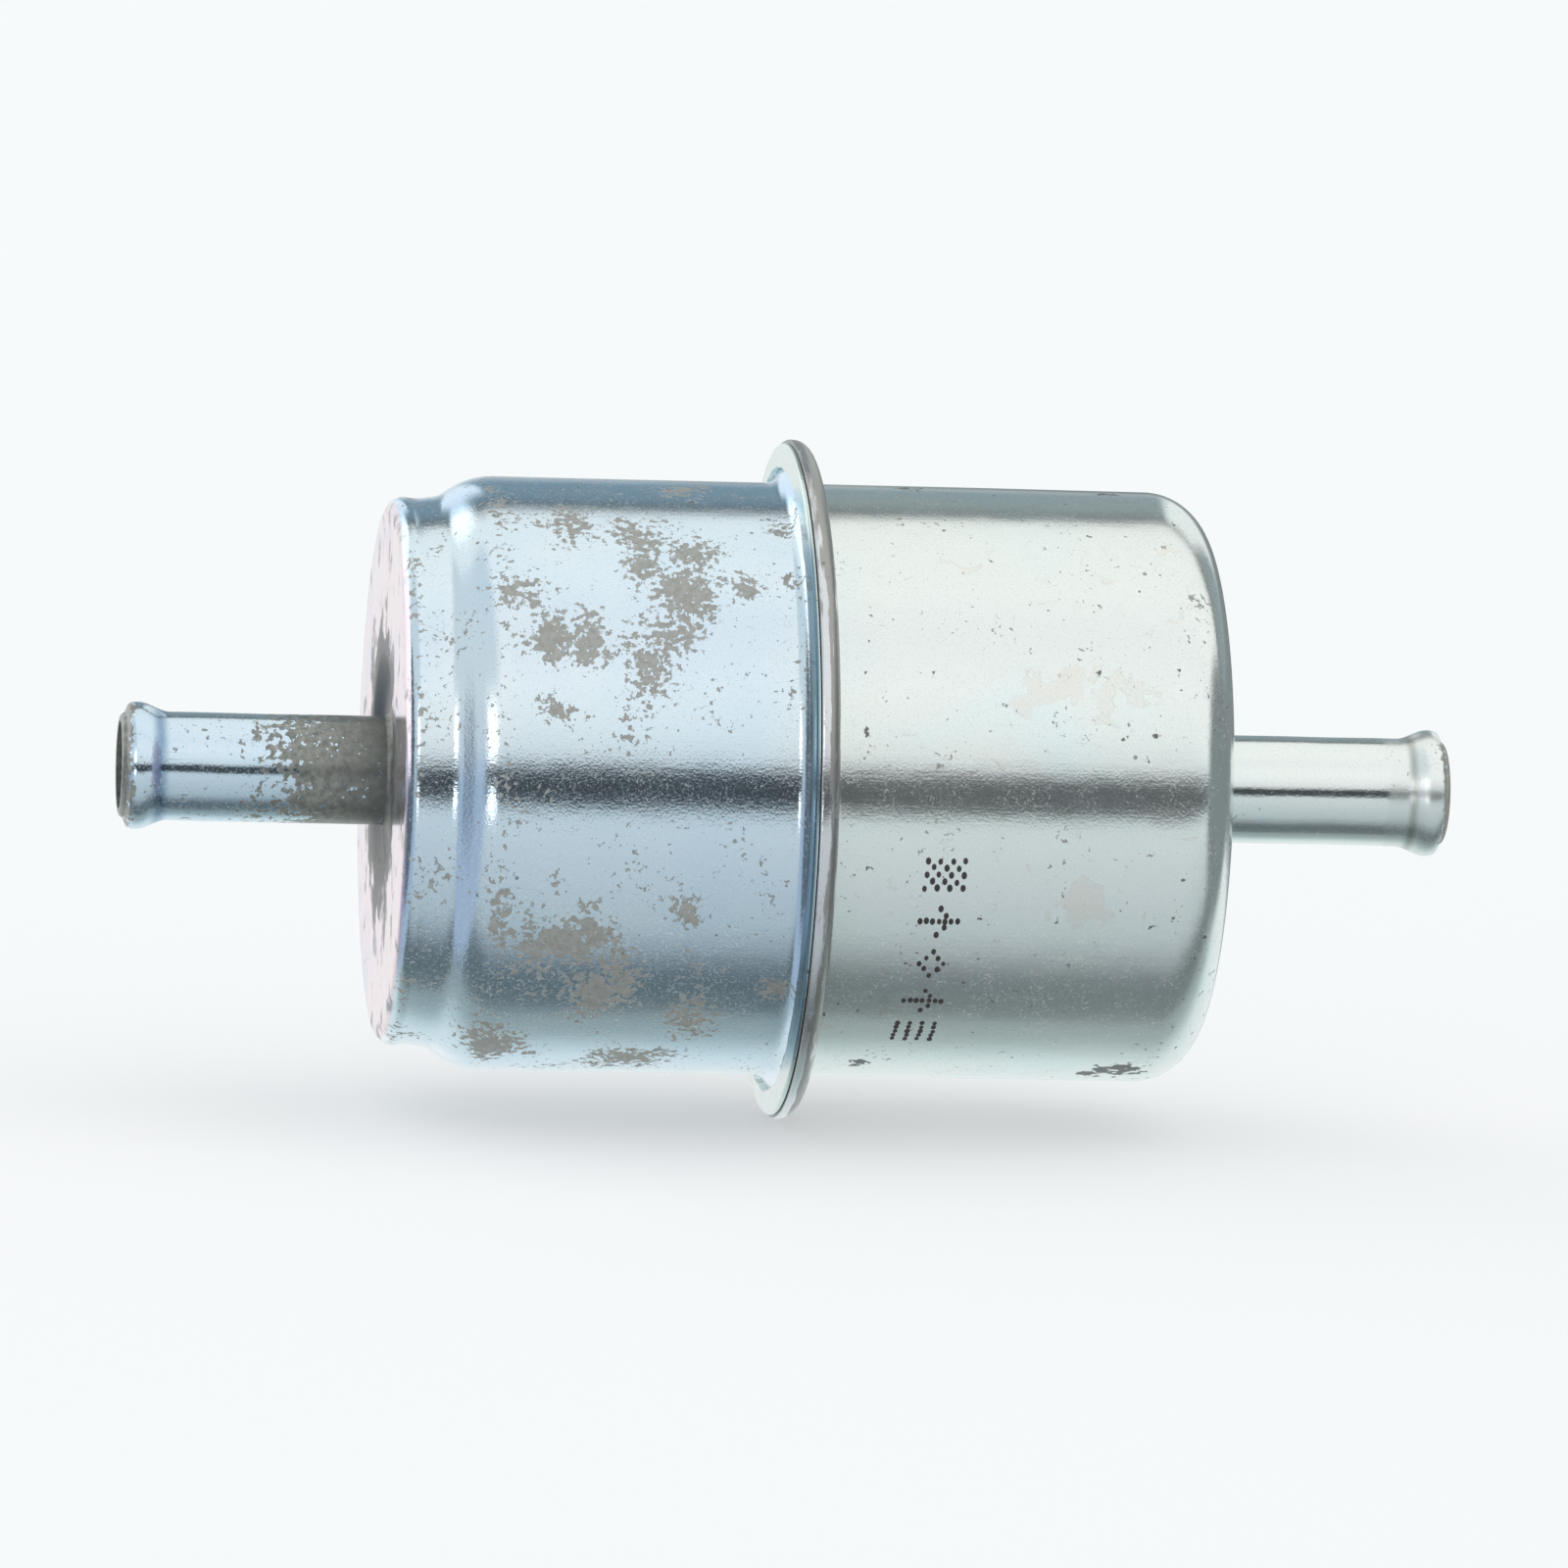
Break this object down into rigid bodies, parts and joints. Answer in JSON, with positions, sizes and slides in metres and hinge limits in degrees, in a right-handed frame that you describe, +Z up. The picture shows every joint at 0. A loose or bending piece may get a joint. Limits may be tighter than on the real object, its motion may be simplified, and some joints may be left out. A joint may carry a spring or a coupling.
{
  "type": "fuel filter",
  "caption": "In-line fuel filter: drawn steel canister with a folded seam round its middle, a beaded hose tube at each end and a pleated paper element inside.",
  "frame": {"origin": "on the filter's axis, halfway between the tips of its hose tubes", "axes": "+X along the axis from the inlet to the outlet, +Z up as pictured"},
  "size_m": [0.098, 0.0498, 0.0498],
  "materials": {
    "blue_zinc": "clear blue zinc plating, satin, lightly worn",
    "pale_zinc": "clear zinc plating, satin, lightly worn",
    "tinplate": "bare tinplate",
    "braze": "dull, plated over",
    "spring_steel": "drawn wire",
    "paper": "resin-treated pleated paper",
    "potting": "cured plastisol",
    "gasket_rubber": "matt black rubber",
    "sealing_compound": "cured can-sealing compound"
  },
  "bodies": {
    "housing": {"inlet_shell": "blue_zinc", "outlet_shell": "pale_zinc", "seam_seal": "sealing_compound", "inlet_tube": "blue_zinc", "outlet_tube": "pale_zinc", "inlet_braze": "braze", "outlet_braze": "braze", "outlet_gasket": "gasket_rubber", "preload_spring": "spring_steel"},
    "element": {"filter_media": "paper", "media_clip": "tinplate", "core_tube": "tinplate", "inlet_cap": "tinplate", "outlet_cap": "tinplate", "inlet_potting": "potting", "outlet_potting": "potting"}
  },
  "joints": [
    {"name": "element_float", "type": "slide", "parent": "housing", "child": "element", "axis": [-1, 0, 0], "range_m": [0, 0.004], "stiffness_N_per_m": 1950, "springref_m": -0.004, "deforming": ["preload_spring"]}
  ]
}
